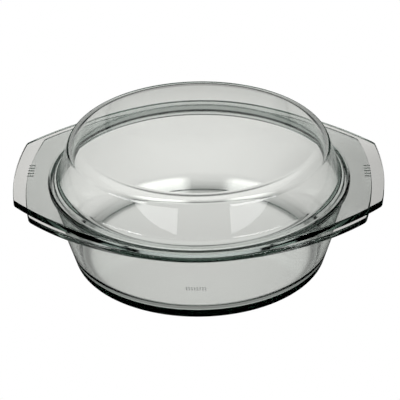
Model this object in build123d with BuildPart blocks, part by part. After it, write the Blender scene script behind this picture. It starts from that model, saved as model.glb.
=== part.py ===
# A round pressed-glass casserole dish with its glass lid.
#
# The origin is the centre of the foot, on the surface that the dish stands on. +Z is up, and +X runs
# along the two tab handles. All sizes are in millimetres.

from build123d import *

import os
from math import asin, cos, degrees, hypot, radians, sin, sqrt, tan

# Heights above the surface that the dish stands on
RIM_HEIGHT = 64.0
DISH_TAB_TOP = 62.5
DISH_TAB_THICK = 4.4
LID_FLANGE_THICK = 5.2

# Plan of the dish: a round rim, and tabs with bowed sides, bowed ends and rounded corners
DISH_RIM_RADIUS = 113.0
DISH_TAB_REACH = 127.0
DISH_TAB_END_RADIUS = 262.0
DISH_TAB_SIDE_RADIUS = 185.0
DISH_TAB_SIDE_START = 80.0
DISH_TAB_CORNER = 9.0

# Plan of the lid, whose tabs reach further out than those of the dish
LID_RIM_RADIUS = 116.0
LID_TAB_REACH = 136.0
LID_TAB_END_RADIUS = 270.0
LID_TAB_SIDE_RADIUS = 240.0
LID_TAB_SIDE_START = 67.5
LID_TAB_CORNER = 7.0

# Section of the dish: a flared wall, a rounded heel, a base hollowed very slightly from below, and
# a lip whose inside flares further out above the lip height
DISH_DRAFT = 16.4
DISH_WALL_AT_BASE = 93.15
DISH_WALL_THICK = 4.3
DISH_HEEL_RADIUS = 6.0
DISH_FLOOR_THICK = 5.2
DISH_INNER_HEEL = 14.0
RECESS_RADIUS = 72.0
RECESS_DEPTH = 0.8
BEAD_RADIUS = 111.2
LIP_HEIGHT = 55.0
LIP_FLARE = 2.1
LIP_ROUND = 8.0

# Section of the lid: a flared wall, a rounded shoulder and a slightly domed crown
LID_DRAFT = 18.5
LID_WALL_THICK = 4.0
SHOULDER_CENTRE = (86.1, 88.3)
SHOULDER_RADIUS = 11.2
CROWN_RADIUS = 1400.0

# The ring under the lid that keeps it centred in the dish
SKIRT_RADIUS = 107.4
SKIRT_DEPTH = 3.0
SKIRT_TAPER = 0.7

# Edges rounded by the mould
LID_EDGE_ROUND = 0.8
LID_WALL_FILLET = 4.0
SKIRT_ROUND = 0.8
DISH_EDGE_ROUND = 1.3
DISH_WALL_FILLET = 1.8
BEAD_ROUND = 0.5

# Plain raised bars, where such ware carries its moulded marks
MARK_HEIGHT = 0.35
MARK_EMBED = 0.3
MARK_WIDTH = 1.2
TAB_MARK_X = 124.0
TAB_MARK_LENGTH = 5.0
TAB_MARK_PITCH = 4.0
TAB_MARK_COUNT = 5
WALL_MARK_Z = 31.0
WALL_MARK_LENGTH = 3.6
WALL_MARK_PITCH = 1.9
WALL_MARK_COUNT = 8

LID_UNDERSIDE = RIM_HEIGHT
LID_FLANGE_TOP = LID_UNDERSIDE + LID_FLANGE_THICK
DISH_TAB_UNDERSIDE = DISH_TAB_TOP - DISH_TAB_THICK
CLEAR_ABOVE = 5.0


def polar(radius, angle):
    """The plan point at a radius, and an angle in degrees from +X."""
    return (radius * cos(radians(angle)), radius * sin(radians(angle)))


def crossing(centre_1, radius_1, centre_2, radius_2):
    """Where two circles cross, on the side of larger y."""
    dx = centre_2[0] - centre_1[0]
    dy = centre_2[1] - centre_1[1]
    gap = hypot(dx, dy)
    along = (gap**2 + radius_1**2 - radius_2**2) / (2 * gap)
    off = sqrt(radius_1**2 - along**2)
    points = [
        (centre_1[0] + (along * dx + s * off * dy) / gap, centre_1[1] + (along * dy - s * off * dx) / gap)
        for s in (1, -1)
    ]
    return max(points, key=lambda point: point[1])


def rim_with_tabs(rim_radius, reach, end_radius, side_radius, side_start, corner):
    """The plan of a round rim with two opposite tabs, as a sketch.

    Each tab's sides are arcs that leave the rim circle smoothly at side_start degrees from X.
    """
    start = polar(rim_radius, side_start)
    side_centre = polar(rim_radius - side_radius, side_start)
    tip = crossing((reach - end_radius, 0), end_radius, side_centre, side_radius)
    halfway = ((start[0] + tip[0]) / 2 - side_centre[0], (start[1] + tip[1]) / 2 - side_centre[1])
    stretch = side_radius / hypot(*halfway)
    bow = (side_centre[0] + stretch * halfway[0], side_centre[1] + stretch * halfway[1])
    with BuildSketch() as plan:
        with BuildLine():
            for s in (1, -1):
                ThreePointArc((s * tip[0], -tip[1]), (s * reach, 0), (s * tip[0], tip[1]))
                ThreePointArc((-start[0], s * start[1]), (0, s * rim_radius), (start[0], s * start[1]))
                for t in (1, -1):
                    ThreePointArc(
                        (s * start[0], t * start[1]), (s * bow[0], t * bow[1]), (s * tip[0], t * tip[1])
                    )
        make_face()
        fillet(plan.vertices().filter_by(lambda v: abs(abs(v.Y) - tip[1]) < 0.01), corner)
    return plan.sketch


def ring_edges(part, *rings):
    """The round edges of a part, each given by its radius and its height."""
    found = ShapeList()
    for radius, height in rings:
        level = part.edges().filter_by(GeomType.CIRCLE).filter_by_position(
            Axis.Z, height - 0.01, height + 0.01
        )
        found += level.filter_by(lambda edge: abs(edge.bounding_box().size.X - 2 * radius) < 0.02)
    return found


def dish_wall(height, inset=0.0):
    """Radius of the dish's outer wall line at a height, or of a line that lies inset inside it."""
    return DISH_WALL_AT_BASE - inset / cos(radians(DISH_DRAFT)) + height * tan(radians(DISH_DRAFT))


def lip(height):
    """Radius at a height of the flared lip inside the dish."""
    start = dish_wall(LIP_HEIGHT, DISH_WALL_THICK)
    mouth = dish_wall(RIM_HEIGHT, DISH_WALL_THICK) + LIP_FLARE
    return start + (mouth - start) * (height - LIP_HEIGHT) / (RIM_HEIGHT - LIP_HEIGHT)


def lid_wall(height, shoulder_radius):
    """Radius at a height of the wall line that leaves a shoulder arc of this radius."""
    drop = SHOULDER_CENTRE[1] - height
    return SHOULDER_CENTRE[0] + shoulder_radius / cos(radians(LID_DRAFT)) + drop * tan(radians(LID_DRAFT))


def dome_section(inset, bottom):
    """Half of the lid's section as a sketch, on the XZ plane, inset inside its outer surface."""
    shoulder = SHOULDER_RADIUS - inset
    crown = CROWN_RADIUS - inset
    crown_angle = degrees(asin(SHOULDER_CENTRE[0] / (crown - shoulder)))
    crown_centre = SHOULDER_CENTRE[1] - (crown - shoulder) * cos(radians(crown_angle))
    with BuildSketch(Plane.XZ) as section:
        with BuildLine():
            top = CenterArc((0, crown_centre), crown, 90 - crown_angle, crown_angle)
            turn = CenterArc(SHOULDER_CENTRE, shoulder, LID_DRAFT, 90 - crown_angle - LID_DRAFT)
            Polyline(turn @ 0, (lid_wall(bottom, shoulder), bottom), (0, bottom), top @ 1)
        make_face()
    return section.sketch


dish_plan = rim_with_tabs(
    DISH_RIM_RADIUS,
    DISH_TAB_REACH,
    DISH_TAB_END_RADIUS,
    DISH_TAB_SIDE_RADIUS,
    DISH_TAB_SIDE_START,
    DISH_TAB_CORNER,
)

# The dish: rim and tabs first, then the bowl, then its hollow
with BuildPart() as dish:
    with BuildSketch(Plane.XY.offset(DISH_TAB_UNDERSIDE)):
        add(dish_plan)
    extrude(amount=DISH_TAB_THICK)
    fillet(dish.edges().group_by(Axis.Z)[0] + dish.edges().group_by(Axis.Z)[-1], DISH_EDGE_ROUND)
    with BuildSketch(Plane.XZ) as bowl_section:
        with BuildLine():
            TangentArc((0, RECESS_DEPTH), (RECESS_RADIUS, 0), tangent=(1, 0))
            Polyline(
                (RECESS_RADIUS, 0),
                (DISH_WALL_AT_BASE, 0),
                (dish_wall(DISH_TAB_TOP - 1), DISH_TAB_TOP - 1),
                (BEAD_RADIUS, DISH_TAB_TOP - 1),
                (BEAD_RADIUS, RIM_HEIGHT),
                (0, RIM_HEIGHT),
                (0, RECESS_DEPTH),
            )
        make_face()
        heel = bowl_section.vertices().sort_by_distance((DISH_WALL_AT_BASE, 0, 0))[0]
        fillet(heel, DISH_HEEL_RADIUS)
    revolve(axis=Axis.Z)
    with BuildSketch(Plane.XZ) as hollow_section:
        with BuildLine():
            Polyline(
                (0, DISH_FLOOR_THICK),
                (dish_wall(DISH_FLOOR_THICK, DISH_WALL_THICK), DISH_FLOOR_THICK),
                (lip(LIP_HEIGHT), LIP_HEIGHT),
                (lip(RIM_HEIGHT + CLEAR_ABOVE), RIM_HEIGHT + CLEAR_ABOVE),
                (0, RIM_HEIGHT + CLEAR_ABOVE),
                close=True,
            )
        make_face()
        fillet(hollow_section.vertices().group_by(Axis.Y)[0].sort_by(Axis.X)[-1], DISH_INNER_HEEL)
        fillet(hollow_section.vertices().sort_by_distance((lip(LIP_HEIGHT), LIP_HEIGHT, 0))[0], LIP_ROUND)
    revolve(axis=Axis.Z, mode=Mode.SUBTRACT)
    fillet(ring_edges(dish, (dish_wall(DISH_TAB_UNDERSIDE), DISH_TAB_UNDERSIDE)), DISH_WALL_FILLET)
    fillet(ring_edges(dish, (BEAD_RADIUS, RIM_HEIGHT), (lip(RIM_HEIGHT), RIM_HEIGHT)), BEAD_ROUND)
    for i in range(WALL_MARK_COUNT):
        turn = degrees((i - (WALL_MARK_COUNT - 1) / 2) * WALL_MARK_PITCH / dish_wall(WALL_MARK_Z)) - 90
        foot = polar(dish_wall(WALL_MARK_Z), turn)
        outward = polar(cos(radians(DISH_DRAFT)), turn)
        wall_plane = Plane(
            origin=(foot[0], foot[1], WALL_MARK_Z),
            x_dir=polar(1, turn + 90) + (0,),
            z_dir=outward + (-sin(radians(DISH_DRAFT)),),
        )
        with BuildSketch(wall_plane.offset(-MARK_EMBED)):
            SlotOverall(WALL_MARK_LENGTH, MARK_WIDTH, rotation=90)
        extrude(amount=MARK_EMBED + MARK_HEIGHT)
dish.part.label = "dish"

lid_plan = rim_with_tabs(
    LID_RIM_RADIUS,
    LID_TAB_REACH,
    LID_TAB_END_RADIUS,
    LID_TAB_SIDE_RADIUS,
    LID_TAB_SIDE_START,
    LID_TAB_CORNER,
)
dome = dome_section(0, LID_UNDERSIDE + 1)
hollow = dome_section(LID_WALL_THICK, LID_UNDERSIDE - SKIRT_DEPTH - CLEAR_ABOVE)

# The lid: flange and tabs, the dome above, the centring skirt below, then the hollow
with BuildPart() as lid:
    with BuildSketch(Plane.XY.offset(LID_UNDERSIDE)):
        add(lid_plan)
    extrude(amount=LID_FLANGE_THICK)
    fillet(lid.edges().group_by(Axis.Z)[0] + lid.edges().group_by(Axis.Z)[-1], LID_EDGE_ROUND)
    with BuildSketch(Plane.XZ):
        add(dome)
    revolve(axis=Axis.Z)
    wall_foot = lid_wall(LID_FLANGE_TOP, SHOULDER_RADIUS)
    fillet(ring_edges(lid, (wall_foot, LID_FLANGE_TOP)), LID_WALL_FILLET)
    with BuildSketch(Plane.XZ) as skirt_section:
        with BuildLine():
            Polyline(
                (0, LID_UNDERSIDE + 1),
                (SKIRT_RADIUS, LID_UNDERSIDE + 1),
                (SKIRT_RADIUS, LID_UNDERSIDE),
                (SKIRT_RADIUS - SKIRT_TAPER, LID_UNDERSIDE - SKIRT_DEPTH),
                (0, LID_UNDERSIDE - SKIRT_DEPTH),
                close=True,
            )
        make_face()
        fillet(skirt_section.vertices().group_by(Axis.Y)[0].sort_by(Axis.X)[-1], SKIRT_ROUND)
    revolve(axis=Axis.Z)
    with BuildSketch(Plane.XZ):
        add(hollow)
    revolve(axis=Axis.Z, mode=Mode.SUBTRACT)
    with BuildSketch(Plane.XY.offset(LID_FLANGE_TOP - MARK_EMBED)):
        with Locations((TAB_MARK_X, 0), (-TAB_MARK_X, 0)):
            with GridLocations(0, TAB_MARK_PITCH, 1, TAB_MARK_COUNT):
                SlotOverall(TAB_MARK_LENGTH, MARK_WIDTH)
    extrude(amount=MARK_EMBED + MARK_HEIGHT)
lid.part.label = "lid"

os.makedirs("parts", exist_ok=True)
export_step(dish.part, "parts/dish.step")
export_step(lid.part, "parts/lid.step")
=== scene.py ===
"""The looks of a covered casserole dish: two clear glass pressings on a light table.

Lengths are in metres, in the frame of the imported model: +Z up, +X along the tab handles.
"""

from math import atan2, cos, hypot, pi, radians, sin, sqrt, tan

import bmesh
import bpy
import numpy as np
from mathutils import Matrix, Vector


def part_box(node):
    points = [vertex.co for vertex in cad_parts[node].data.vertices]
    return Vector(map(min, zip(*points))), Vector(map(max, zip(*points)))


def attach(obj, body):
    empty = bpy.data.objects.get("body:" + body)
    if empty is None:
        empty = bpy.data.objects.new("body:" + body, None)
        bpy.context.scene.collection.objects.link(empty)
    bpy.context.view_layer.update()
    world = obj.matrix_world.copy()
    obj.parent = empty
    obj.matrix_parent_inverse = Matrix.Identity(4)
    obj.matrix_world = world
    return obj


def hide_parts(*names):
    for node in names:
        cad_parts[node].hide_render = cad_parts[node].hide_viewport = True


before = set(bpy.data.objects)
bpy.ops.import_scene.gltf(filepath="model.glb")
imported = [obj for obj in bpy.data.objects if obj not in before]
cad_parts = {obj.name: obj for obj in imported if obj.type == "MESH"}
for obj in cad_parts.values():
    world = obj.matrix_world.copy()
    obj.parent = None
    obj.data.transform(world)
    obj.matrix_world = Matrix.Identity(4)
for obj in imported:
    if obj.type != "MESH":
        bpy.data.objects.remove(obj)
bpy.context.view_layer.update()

MM = 0.001
_, dish_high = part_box("dish")
lid_low, lid_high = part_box("lid")

# Plan outlines: rim radius, tab reach, radius of the tab's end, radius of its sides, the angle
# from X where the sides leave the rim, and radius of the tab's corners
DISH_PLAN = (dish_high.y, dish_high.x, 262 * MM, 185 * MM, radians(80), 9 * MM)
LID_PLAN = (lid_high.y, lid_high.x, 270 * MM, 240 * MM, radians(67.5), 7 * MM)
PLAN_STEPS = (16, 12, 64, 10)

# Heights
RIM_TOP = dish_high.z
DISH_TAB_TOP = RIM_TOP - 1.5 * MM
DISH_TAB_UNDERSIDE = DISH_TAB_TOP - 4.4 * MM
LID_UNDERSIDE = RIM_TOP
LID_FLANGE_TOP = LID_UNDERSIDE + 5.2 * MM
AIR_GAP = 0.06 * MM

# Section of the dish
DISH_DRAFT = radians(16.4)
DISH_WALL_AT_BASE = 93.15 * MM
DISH_WALL_THICK = 4.3 * MM
DISH_FLOOR_THICK = 5.2 * MM
DISH_HEEL_RADIUS = 6 * MM
DISH_INNER_HEEL = 14 * MM
DISH_EDGE_ROUND = 1.3 * MM
DISH_WALL_FILLET = 1.8 * MM
RECESS_RADIUS = 72 * MM
RECESS_DEPTH = 0.8 * MM
BEAD_RADIUS = 111.2 * MM
BEAD_ROUND = 0.5 * MM
LIP_HEIGHT = 55 * MM
LIP_FLARE = 2.1 * MM
LIP_ROUND = 8 * MM

# Section of the lid
LID_DRAFT = radians(18.5)
LID_WALL_THICK = 4 * MM
LID_EDGE_ROUND = 0.8 * MM
LID_WALL_FILLET = 4 * MM
SHOULDER = (86.1 * MM, 88.3 * MM)
SHOULDER_RADIUS = 11.2 * MM
CROWN_RADIUS = 1400 * MM
SKIRT_RADIUS = 107.4 * MM
SKIRT_TAPER = 0.7 * MM
SKIRT_ROUND = 0.8 * MM

# Raised bars, with soft shoulders MARK_EASE wide and a skin as rough as FROST. TAB_MARKS and
# WALL_MARKS give how many, how far apart and how long.
MARK_HEIGHT = 0.35 * MM
MARK_WIDTH = 1.2 * MM
MARK_EASE = 0.2 * MM
FROST = 0.7
TAB_MARK_X = 124 * MM
TAB_MARKS = (5, 4 * MM, 5 * MM)
WALL_MARK_Z = 31 * MM
WALL_MARKS = (8, 1.9 * MM, 3.6 * MM)


def crossing(centre_1, radius_1, centre_2, radius_2):
    """Where two circles cross, on the side of larger y."""
    dx = centre_2[0] - centre_1[0]
    dy = centre_2[1] - centre_1[1]
    gap = hypot(dx, dy)
    along = (gap**2 + radius_1**2 - radius_2**2) / (2 * gap)
    off = sqrt(radius_1**2 - along**2)
    points = [
        (
            centre_1[0] + (along * dx + side * off * dy) / gap,
            centre_1[1] + (along * dy - side * off * dx) / gap,
        )
        for side in (1, -1)
    ]
    return max(points, key=lambda point: point[1])


def outline(rim, reach, end_radius, side_radius, side_start, corner):
    """Points round a rim with two tabs, anticlockwise from +X, each with its outward normal."""
    side_centre = ((rim - side_radius) * cos(side_start), (rim - side_radius) * sin(side_start))
    end_centre = (reach - end_radius, 0)
    corner_centre = crossing(end_centre, end_radius - corner, side_centre, side_radius - corner)
    end_turn = atan2(corner_centre[1] - end_centre[1], corner_centre[0] - end_centre[0])
    side_turn = atan2(corner_centre[1] - side_centre[1], corner_centre[0] - side_centre[0])
    arcs = [
        (end_centre, end_radius, 0, end_turn),
        (corner_centre, corner, end_turn, side_turn),
        (side_centre, side_radius, side_turn, side_start),
        ((0, 0), rim, side_start, pi / 2),
    ]
    quarter = []
    for (centre, radius, first, last), steps in zip(arcs, PLAN_STEPS):
        for turn in np.linspace(first, last, steps, endpoint=False):
            n = (cos(turn), sin(turn))
            quarter.append((centre[0] + radius * n[0], centre[1] + radius * n[1], *n))
    quarter = np.array(quarter + [(0, rim, 0, 1)])
    half = np.vstack([quarter[:-1], quarter[:0:-1] * (-1, 1, -1, 1)])
    return np.vstack([half, -half])


def straight(start, end, steps):
    """Points from start to just before end on a line of a section, each with its outward normal."""
    start, end = np.array(start, float), np.array(end, float)
    run = (end - start) / np.linalg.norm(end - start)
    points = start + np.linspace(0, 1, steps, endpoint=False)[:, None] * (end - start)
    return np.hstack([points, np.tile((run[1], -run[0]), (steps, 1))])


def arc(centre, radius, first, last, steps):
    """Points from an arc's first angle to just before its last, each with its outward normal.

    The arc bulges out of the glass where its angle grows, and into the glass where it falls.
    """
    turn = np.linspace(first, last, steps, endpoint=False)
    normals = np.stack([np.cos(turn), np.sin(turn)], axis=1)
    side = 1 if last > first else -1
    return np.hstack([np.array(centre) + radius * normals, side * normals])


def rounded(*corners):
    """A section's run through corners (x, z, radius, steps of arc, steps of the line before it).

    The first and last corners are its ends, given as (x, z) and (x, z, steps of the last line).
    """
    rows = []
    at = np.array(corners[0], float)
    for (x, z, radius, arc_steps, line_steps), after in zip(corners[1:-1], corners[2:]):
        corner = np.array((x, z))
        back = (at - corner) / np.linalg.norm(at - corner)
        ahead = np.array(after[:2]) - corner
        ahead /= np.linalg.norm(ahead)
        half = 0.5 * np.arccos(back @ ahead)
        reach = radius / tan(half)
        centre = corner + (back + ahead) / np.linalg.norm(back + ahead) * radius / sin(half)
        rows.append(straight(at, corner + reach * back, line_steps))
        first = atan2(*(corner + reach * back - centre)[::-1])
        last = atan2(*(corner + reach * ahead - centre)[::-1])
        rows.append(arc(centre, radius, first, first + (last - first + pi) % (2 * pi) - pi, arc_steps))
        at = corner + reach * ahead
    rows.append(straight(at, corners[-1][:2], corners[-1][2]))
    return np.vstack(rows)


def dish_wall(height, inset=0.0):
    """Radius of the dish's wall line at a height, inset inside the outer face."""
    return DISH_WALL_AT_BASE - inset / cos(DISH_DRAFT) + height * tan(DISH_DRAFT)


def lid_wall(height, inset=0.0):
    """Radius of the lid's wall line at a height, inset inside the outer face."""
    drop = SHOULDER[1] - height
    return SHOULDER[0] + (SHOULDER_RADIUS - inset) / cos(LID_DRAFT) + drop * tan(LID_DRAFT)


def crown(inset):
    """The centre height, the radius and the half angle of the crown's arc, inset inside its top."""
    radius = CROWN_RADIUS - inset
    shoulder = SHOULDER_RADIUS - inset
    half = np.arcsin(SHOULDER[0] / (radius - shoulder))
    return SHOULDER[1] - (radius - shoulder) * cos(half), radius, half


def dish_section():
    """Half of the dish's section, from the middle of the foot round the rim to the floor inside."""
    rim = DISH_PLAN[0]
    hollow = (RECESS_RADIUS**2 + RECESS_DEPTH**2) / (2 * RECESS_DEPTH)
    mouth = dish_wall(RIM_TOP, DISH_WALL_THICK) + LIP_FLARE
    return np.vstack([
        arc((0, RECESS_DEPTH - hollow), hollow, pi / 2, pi / 2 - np.arcsin(RECESS_RADIUS / hollow), 12),
        rounded(
            (RECESS_RADIUS, 0),
            (DISH_WALL_AT_BASE, 0, DISH_HEEL_RADIUS, 14, 4),
            (dish_wall(DISH_TAB_UNDERSIDE), DISH_TAB_UNDERSIDE, DISH_WALL_FILLET, 8, 22),
            (rim, DISH_TAB_UNDERSIDE, DISH_EDGE_ROUND, 8, 6),
            (rim, DISH_TAB_TOP, DISH_EDGE_ROUND, 8, 2),
            (BEAD_RADIUS, DISH_TAB_TOP, 0.35 * MM, 4, 6),
            (BEAD_RADIUS, RIM_TOP - AIR_GAP, BEAD_ROUND, 8, 1),
            (mouth, RIM_TOP - AIR_GAP, BEAD_ROUND, 8, 3),
            (dish_wall(LIP_HEIGHT, DISH_WALL_THICK), LIP_HEIGHT, LIP_ROUND, 10, 6),
            (dish_wall(DISH_FLOOR_THICK, DISH_WALL_THICK), DISH_FLOOR_THICK, DISH_INNER_HEEL, 16, 20),
            (0, DISH_FLOOR_THICK, 10),
        ),
        [(0, DISH_FLOOR_THICK, 0, 1)],
    ])


def lid_section():
    """Half of the lid's section, from the middle of the crown inside round the rim to its top."""
    rim = LID_PLAN[0]
    skirt_low = lid_low.z
    inner = SHOULDER_RADIUS - LID_WALL_THICK
    inner_centre, inner_crown, inner_half = crown(LID_WALL_THICK)
    outer_centre, outer_crown, outer_half = crown(0)
    shoulder_end = np.array(SHOULDER) + SHOULDER_RADIUS * np.array((cos(LID_DRAFT), sin(LID_DRAFT)))
    inner_end = np.array(SHOULDER) + inner * np.array((cos(LID_DRAFT), sin(LID_DRAFT)))
    return np.vstack([
        arc((0, inner_centre), inner_crown, pi / 2, pi / 2 - inner_half, 14),
        arc(SHOULDER, inner, pi / 2 - inner_half, LID_DRAFT, 14),
        rounded(
            inner_end,
            (lid_wall(skirt_low, LID_WALL_THICK), skirt_low, 0.5 * MM, 4, 14),
            (SKIRT_RADIUS - SKIRT_TAPER, skirt_low, SKIRT_ROUND, 6, 1),
            (SKIRT_RADIUS, LID_UNDERSIDE, 0.3 * MM, 3, 2),
            (rim, LID_UNDERSIDE, LID_EDGE_ROUND, 8, 8),
            (rim, LID_FLANGE_TOP, LID_EDGE_ROUND, 8, 2),
            (lid_wall(LID_FLANGE_TOP), LID_FLANGE_TOP, LID_WALL_FILLET, 8, 8),
            (*shoulder_end, 10),
        ),
        arc(SHOULDER, SHOULDER_RADIUS, LID_DRAFT, pi / 2 - outer_half, 18),
        arc((0, outer_centre), outer_crown, pi / 2 - outer_half, pi / 2, 14),
        [(0, outer_centre + outer_crown, 0, 1)],
    ])


def swept(section, columns, rim, turned, outlined):
    """Vertices, normals and faces of a section carried round the columns of an outline.

    Points of the section no further out than turned are turned about Z. Points from outlined
    outwards keep their distance from the rim. Those between run straight from one to the other.
    """
    x, z, nx, nz = section[1:-1].T[:, :, None]
    plan, normal = columns[:, :2], columns[:, 2:]
    radial = plan / np.linalg.norm(plan, axis=1)[:, None]
    share = np.clip((x - turned) / (outlined - turned), 0, 1)[..., None]
    inner = np.minimum(x, turned)[..., None] * radial
    outer = plan - (rim - np.maximum(x, outlined))[..., None] * normal
    across = (1 - share) * radial + share * normal
    count = len(columns)
    flat = np.broadcast_to(z[..., None], (*inner.shape[:2], 1))
    rise = np.broadcast_to(nz[..., None], (*inner.shape[:2], 1))
    points = np.concatenate([(1 - share) * inner + share * outer, flat], axis=2).reshape(-1, 3)
    normals = np.concatenate([nx[..., None] * across, rise], axis=2).reshape(-1, 3)
    ends = section[[0, -1]]
    points = np.vstack([points, [(0, 0, end[1]) for end in ends]])
    normals = np.vstack([normals, [(0, 0, end[3]) for end in ends]])
    rings = len(section) - 2
    first, last = rings * count, rings * count + 1
    faces = []
    for j in range(count):
        k = (j + 1) % count
        faces.append((first, k, j))
        faces += [
            (i * count + j, i * count + k, (i + 1) * count + k, (i + 1) * count + j) for i in range(rings - 1)
        ]
        faces.append((last, (rings - 1) * count + j, (rings - 1) * count + k))
    return points, normals, faces


def bar_height(across, along, marks):
    """The height of a row of raised bars, at distances across and along the bars."""
    count, pitch, length = marks
    middle = np.clip(np.round(across / pitch + (count - 1) / 2), 0, count - 1) - (count - 1) / 2
    past = np.maximum(np.abs(along) - (length - MARK_WIDTH) / 2, 0)
    rise = np.clip((MARK_WIDTH / 2 - np.hypot(across - middle * pitch, past)) / MARK_EASE, 0, 1)
    return MARK_HEIGHT * rise**2 * (3 - 2 * rise)


def raise_bars(points, normals, across, along, sideways, lengthways, marks):
    """Points lifted along their normals by the height of the bars, their tilted normals, the lift."""
    step = 0.01 * MM
    lift = bar_height(across, along, marks)
    lean = bar_height(across + step, along, marks) - bar_height(across - step, along, marks)
    pitch = bar_height(across, along + step, marks) - bar_height(across, along - step, marks)
    tilted = normals - (lean[:, None] * sideways + pitch[:, None] * lengthways) / (2 * step)
    return points + lift[:, None] * normals, tilted / np.linalg.norm(tilted, axis=1)[:, None], lift


def near_tab_marks(x, y, z):
    """Whether a place is on top of a tab of the lid and near its bars."""
    on_top = abs(z - LID_FLANGE_TOP) < 0.001 * MM
    return on_top & (abs(abs(x) - TAB_MARK_X) < 5.5 * MM) & (abs(y) < 11 * MM)


def near_wall_marks(x, y, z):
    """Whether a place is on the outer face of the dish's front wall and near its bars."""
    outside = np.hypot(x, y) > dish_wall(z, 1 * MM)
    return outside & (y < 0) & (abs(x) < 9 * MM) & (abs(z - WALL_MARK_Z) < 3 * MM)


def tab_bars(points, normals, lift, made):
    """Raise the bars on both tabs of the lid."""
    normals[made:] = (0, 0, 1)
    on = near_tab_marks(*points.T)
    x, y, _ = points[on].T
    along = np.abs(x) - TAB_MARK_X
    outward = np.sign(x)[:, None] * (1, 0, 0)
    points[on], normals[on], lift[on] = raise_bars(
        points[on], normals[on], y, along, (0, 1, 0), outward, TAB_MARKS
    )


def wall_bars(points, normals, lift, made):
    """Set the new points on the dish's wall, and raise the bars there."""
    x, y, z = points[made:].T
    radial = np.stack([x, y], axis=1) / np.hypot(x, y)[:, None]
    points[made:, :2] = dish_wall(z)[:, None] * radial
    normals[made:, :2] = cos(DISH_DRAFT) * radial
    normals[made:, 2] = -sin(DISH_DRAFT)
    on = near_wall_marks(*points.T)
    x, y, z = points[on].T
    turn = np.arctan2(x, -y)
    across = turn * dish_wall(WALL_MARK_Z)
    along = (z - WALL_MARK_Z) / cos(DISH_DRAFT)
    sideways = np.stack([np.cos(turn), np.sin(turn), 0 * turn], axis=1)
    lean = sin(DISH_DRAFT)
    upwards = np.stack([lean * np.sin(turn), -lean * np.cos(turn), 0 * turn + cos(DISH_DRAFT)], axis=1)
    points[on], normals[on], lift[on] = raise_bars(
        points[on], normals[on], across, along, sideways, upwards, WALL_MARKS
    )


def refine(mesh, near, cuts):
    """Cut the faces of a mesh near its bars into fine grids."""
    skin = bmesh.new()
    skin.from_mesh(mesh)
    chosen = {face.index for face in skin.faces if near(*face.calc_center_median())}
    edges = [edge for edge in skin.edges if any(face.index in chosen for face in edge.link_faces)]
    bmesh.ops.subdivide_edges(skin, edges=edges, cuts=cuts, use_grid_fill=True)
    bmesh.ops.triangulate(skin, faces=[face for face in skin.faces if len(face.verts) > 4])
    skin.to_mesh(mesh)
    skin.free()


def build(name, section, plan, turned, outlined, near, cuts, bars):
    """A closed smooth mesh object with its raised bars and its exact normals."""
    points, normals, faces = swept(section, outline(*plan), plan[0], turned, outlined)
    made = len(points)
    mesh = bpy.data.meshes.new(name)
    mesh.from_pydata(points.tolist(), [], faces)
    refine(mesh, near, cuts)
    points = np.empty(3 * len(mesh.vertices), np.float32)
    mesh.vertices.foreach_get("co", points)
    points = points.reshape(-1, 3).astype(float)
    normals = np.vstack([normals, np.zeros((len(points) - made, 3))])
    lift = np.zeros(len(points))
    bars(points, normals, lift, made)
    mesh.vertices.foreach_set("co", points.ravel())
    mesh.attributes.new("mark", "FLOAT", "POINT").data.foreach_set("value", lift / MARK_HEIGHT)
    mesh.shade_smooth()
    mesh.normals_split_custom_set_from_vertices(normals.tolist())
    piece = bpy.data.objects.new(name, mesh)
    bpy.context.scene.collection.objects.link(piece)
    return piece


def glass(name, seed):
    """Clear pressed glass: a faint green-grey body colour and a slightly wavy, fire-polished skin."""
    material = bpy.data.materials.new(name)
    material.use_nodes = True
    nodes, links = material.node_tree.nodes, material.node_tree.links
    shader = nodes["Principled BSDF"]
    shader.inputs["Base Color"].default_value = (1, 1, 1, 1)
    shader.inputs["IOR"].default_value = 1.474
    shader.inputs["Transmission Weight"].default_value = 1
    place = nodes.new("ShaderNodeTexCoord")
    ripple = nodes.new("ShaderNodeTexNoise")
    ripple.noise_dimensions = "4D"
    ripple.inputs["W"].default_value = seed
    ripple.inputs["Scale"].default_value = 30
    ripple.inputs["Detail"].default_value = 1
    links.new(place.outputs["Object"], ripple.inputs["Vector"])
    bump = nodes.new("ShaderNodeBump")
    bump.inputs["Strength"].default_value = 0.05
    bump.inputs["Distance"].default_value = 0.2 * MM
    links.new(ripple.outputs["Fac"], bump.inputs["Height"])
    links.new(bump.outputs["Normal"], shader.inputs["Normal"])
    polish = nodes.new("ShaderNodeMapRange")
    polish.inputs["To Min"].default_value = 0
    polish.inputs["To Max"].default_value = 0.015
    links.new(ripple.outputs["Fac"], polish.inputs["Value"])
    mark = nodes.new("ShaderNodeAttribute")
    mark.attribute_name = "mark"
    frosted = nodes.new("ShaderNodeMath")
    frosted.operation = "MULTIPLY_ADD"
    frosted.inputs[1].default_value = FROST
    links.new(mark.outputs["Fac"], frosted.inputs[0])
    links.new(polish.outputs["Result"], frosted.inputs[2])
    links.new(frosted.outputs["Value"], shader.inputs["Roughness"])
    body = nodes.new("ShaderNodeVolumeAbsorption")
    body.inputs["Color"].default_value = (0.625, 0.705, 0.67, 1)
    body.inputs["Density"].default_value = 64
    links.new(body.outputs["Volume"], nodes["Material Output"].inputs["Volume"])
    return material


dish = build(
    "dish_glass_body", dish_section(), DISH_PLAN, BEAD_RADIUS + 0.4 * MM, DISH_PLAN[0] - 1.3 * MM,
    near_wall_marks, 15, wall_bars,
)
lid = build(
    "lid_glass_body", lid_section(), LID_PLAN, SKIRT_RADIUS + 0.3 * MM, LID_PLAN[0] - 1.6 * MM,
    near_tab_marks, 15, tab_bars,
)
for piece, node, slot, seed in ((dish, "dish", "dish_glass", 0), (lid, "lid", "lid_glass", 7)):
    piece.data.materials.append(glass(slot, seed))
    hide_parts(node)
    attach(piece, node)

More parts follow.
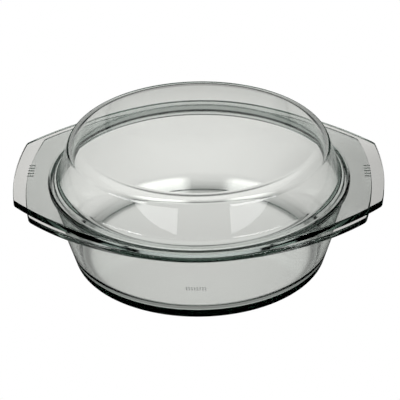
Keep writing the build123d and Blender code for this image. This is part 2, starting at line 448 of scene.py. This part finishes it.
# Light table. The camera sees a plain pale floor and backdrop. Through itself the glass shows a
# card laid over the floor, which the camera doesn't see, and the far wall of the studio. The card
# glows with painted light and shade graded by the distance from the middle: a painted contact
# shadow under the foot ring, light that dims outwards, painted pools of light and of shade and two
# painted patches of light behind the foot. In its skin the glass mirrors the softboxes in front.
FLOOR_HALF = 30
FLOOR_HEIGHT = -0.4 * MM
BACKDROP_HEIGHT = 20
CARD_HEIGHT = -0.2 * MM
CARD_TINT = (1.12, 1.08, 1.06, 1)
# (distance, brightness) of the card's painted light and shade: even under the base, a painted
# contact shadow under the foot ring, even again, then painted light that dims slowly outwards
CARD_LIGHT_AND_SHADE = (
    (0, 0.76), (0.081, 0.76), (0.086, 0.32), (0.092, 0.32), (0.099, 0.6), (0.125, 0.74),
    (0.25, 0.66), (0.33, 0.56), (0.8, 0.45),
)
# Painted pools of light and of shade on the card: (x, y) of each middle, then (distance, brightness)
PAINTED_LIGHT_POOLS = (((-0.01, 0.19), ((0.04, 0.32), (0.19, 0))),)
PAINTED_SHADE_POOLS = (((0.12, 0.105), ((0.04, 0.13), (0.075, 0))),)
# Two painted patches of light on the card just behind the foot: (bearing, brightness), and the
# ring that they lie in: (distance, brightness)
PAINTED_LIGHT_PATCHES = (
    (0.40, 0), (0.43, 0.75), (0.47, 0.75), (0.485, 0),
    (0.525, 0), (0.54, 0.62), (0.57, 0.62), (0.60, 0),
)
PAINTED_PATCH_RING = ((0.080, 0), (0.086, 1), (0.106, 1), (0.112, 0))
# (name, first and last angle from -Y toward +X, lower and upper height, brightness)
SOFTBOXES = (
    ("fill_left", -62, -15, 0.225, 0.36, 3.0),
    ("fill_right", 25, 64, 0.225, 0.36, 2.6),
    ("key_left", -76, -42, 0.36, 1.0, 6),
    ("key_right", 27, 66, 0.36, 0.9, 6),
)
SOFTBOX_DISTANCE = 1.5
# (sine of the elevation, brightness) of the far wall of the studio and of a band overhead, as seen
# through the glass
WALL = ((0, 0.35), (0.1, 0.3), (0.16, 0), (0.66, 0), (0.70, 0.9), (0.84, 0.9), (0.87, 0))


def staged(name, corners, faces, material):
    """A mesh object of the studio."""
    mesh = bpy.data.meshes.new(name)
    mesh.from_pydata(corners, [], faces)
    mesh.materials.append(material)
    thing = bpy.data.objects.new(name, mesh)
    bpy.context.scene.collection.objects.link(thing)
    return thing


def square(half, height):
    """The corners of a level square."""
    return [(-half, -half, height), (half, -half, height), (half, half, height), (-half, half, height)]


def glowing(name, strength):
    """A matte black skin that gives off even white light."""
    material = bpy.data.materials.new(name)
    material.use_nodes = True
    skin = material.node_tree.nodes["Principled BSDF"]
    skin.inputs["Base Color"].default_value = (0, 0, 0, 1)
    skin.inputs["Roughness"].default_value = 1
    skin.inputs["Specular IOR Level"].default_value = 0
    skin.inputs["Emission Color"].default_value = (1, 1, 1, 1)
    skin.inputs["Emission Strength"].default_value = strength
    return material


def graded(tree, value, stops):
    """A grey that follows stops of (value, brightness)."""
    ramp = tree.nodes.new("ShaderNodeValToRGB")
    elements = ramp.color_ramp.elements
    elements.remove(elements[1])
    elements[0].position = stops[0][0]
    elements[0].color = (*[stops[0][1]] * 3, 1)
    for position, brightness in stops[1:]:
        elements.new(position).color = (*[brightness] * 3, 1)
    tree.links.new(value, ramp.inputs["Fac"])
    return ramp.outputs["Color"]


def distance(tree, point):
    """The distance from an (x, y) of the table."""
    place = tree.nodes.new("ShaderNodeTexCoord")
    measure = tree.nodes.new("ShaderNodeVectorMath")
    measure.operation = "DISTANCE"
    measure.inputs[1].default_value = (*point, CARD_HEIGHT)
    tree.links.new(place.outputs["Object"], measure.inputs[0])
    return measure.outputs["Value"]


def bearing(tree):
    """The angle from -Y over -X, +Y and +X round to -Y, as 0 to 1."""
    place = tree.nodes.new("ShaderNodeTexCoord")
    split = tree.nodes.new("ShaderNodeSeparateXYZ")
    turn = tree.nodes.new("ShaderNodeMath")
    turn.operation = "ARCTAN2"
    share = tree.nodes.new("ShaderNodeMapRange")
    share.inputs["From Min"].default_value = -pi
    share.inputs["From Max"].default_value = pi
    tree.links.new(place.outputs["Object"], split.inputs["Vector"])
    tree.links.new(split.outputs["X"], turn.inputs[0])
    tree.links.new(split.outputs["Y"], turn.inputs[1])
    tree.links.new(turn.outputs["Value"], share.inputs["Value"])
    return share.outputs["Result"]


def mixed(tree, blend, first, second):
    """Two colours blended in full; the second may be a plain value."""
    mix = tree.nodes.new("ShaderNodeMix")
    mix.data_type = "RGBA"
    mix.blend_type = blend
    mix.inputs["Factor"].default_value = 1
    tree.links.new(first, mix.inputs[6])
    if isinstance(second, tuple):
        mix.inputs[7].default_value = second
    else:
        tree.links.new(second, mix.inputs[7])
    return mix.outputs[2]


floor = staged("floor", square(FLOOR_HALF, FLOOR_HEIGHT), [(0, 1, 2, 3)], glowing("pale_floor", 1))
floor.visible_glossy = False

# The card's emission is painted light and shade: a contact shadow under the foot ring, pools of light and of
# shade and two patches of light. Only the glass sees the card.
card_skin = glowing("card", 1)
tree = card_skin.node_tree
middle = distance(tree, (0, 0))
light = graded(tree, middle, CARD_LIGHT_AND_SHADE)
# Painted patches of light: the patches by bearing, cut to their ring and added to the card
painted_patches = mixed(tree, "MULTIPLY", graded(tree, bearing(tree), PAINTED_LIGHT_PATCHES), graded(tree, middle, PAINTED_PATCH_RING))
light = mixed(tree, "ADD", light, painted_patches)
# Painted pools of light are added to the card and painted pools of shade taken from it
for blend, pools in (("ADD", PAINTED_LIGHT_POOLS), ("SUBTRACT", PAINTED_SHADE_POOLS)):
    for point, stops in pools:
        light = mixed(tree, blend, light, graded(tree, distance(tree, point), stops))
tinted = mixed(tree, "MULTIPLY", light, CARD_TINT)
tree.links.new(tinted, tree.nodes["Principled BSDF"].inputs["Emission Color"])
card = staged("card", square(FLOOR_HALF, CARD_HEIGHT), [(0, 1, 2, 3)], card_skin)
card.visible_camera = False
card.visible_glossy = False

for name, first, last, low, high, brightness in SOFTBOXES:
    left, right = (SOFTBOX_DISTANCE * tan(radians(turn)) for turn in (first, last))
    lamp = bpy.data.lights.new(name, "AREA")
    lamp.shape = "RECTANGLE"
    lamp.size, lamp.size_y = right - left, high - low
    lamp.energy = 4 * lamp.size * lamp.size_y * brightness
    softbox = bpy.data.objects.new(name, lamp)
    softbox.location = ((left + right) / 2, -SOFTBOX_DISTANCE, (low + high) / 2)
    softbox.rotation_euler = Vector((0, -1, 0)).to_track_quat("Z", "Y").to_euler()
    softbox.visible_camera = False
    softbox.visible_transmission = False
    bpy.context.scene.collection.objects.link(softbox)

wall_feet = square(FLOOR_HALF, FLOOR_HEIGHT)
wall_tops = square(FLOOR_HALF, BACKDROP_HEIGHT)
walls = [(i, (i + 1) % 4, (i + 1) % 4 + 4, i + 4) for i in range(4)]
backdrop = staged("backdrop", wall_feet + wall_tops, walls, glowing("pale_backdrop", 1))
backdrop.visible_glossy = False
backdrop.visible_transmission = False

world = bpy.data.worlds.new("studio")
bpy.context.scene.world = world
world.use_nodes = True
sky = world.node_tree
up = sky.nodes.new("ShaderNodeSeparateXYZ")
sky.links.new(sky.nodes.new("ShaderNodeTexCoord").outputs["Generated"], up.inputs["Vector"])
sky.links.new(graded(sky, up.outputs["Z"], WALL), sky.nodes["Background"].inputs["Color"])
world.cycles_visibility.glossy = False

# Camera
ELEVATION = radians(29.19)
AZIMUTH = radians(1.887)
DISTANCE = 1.351
ROLL = radians(-0.94)
aim = Vector((0, 0, 55 * MM))
direction = Vector((sin(AZIMUTH) * cos(ELEVATION), -cos(AZIMUTH) * cos(ELEVATION), sin(ELEVATION)))
camera_data = bpy.data.cameras.new("camera")
camera_data.sensor_width = 36
camera_data.lens = 163.9
camera_data.shift_y = -0.031
camera_data.shift_x = 0.002
camera = bpy.data.objects.new("camera", camera_data)
bpy.context.scene.collection.objects.link(camera)
camera.location = aim + DISTANCE * direction
looking = direction.to_track_quat("Z", "Y").to_matrix()
camera.rotation_euler = (looking @ Matrix.Rotation(ROLL, 3, "Z")).to_euler()
bpy.context.scene.camera = camera

scene = bpy.context.scene
scene.view_settings.view_transform = "Standard"
scene.cycles.max_bounces = 32
scene.cycles.transmission_bounces = 32
scene.cycles.glossy_bounces = 16
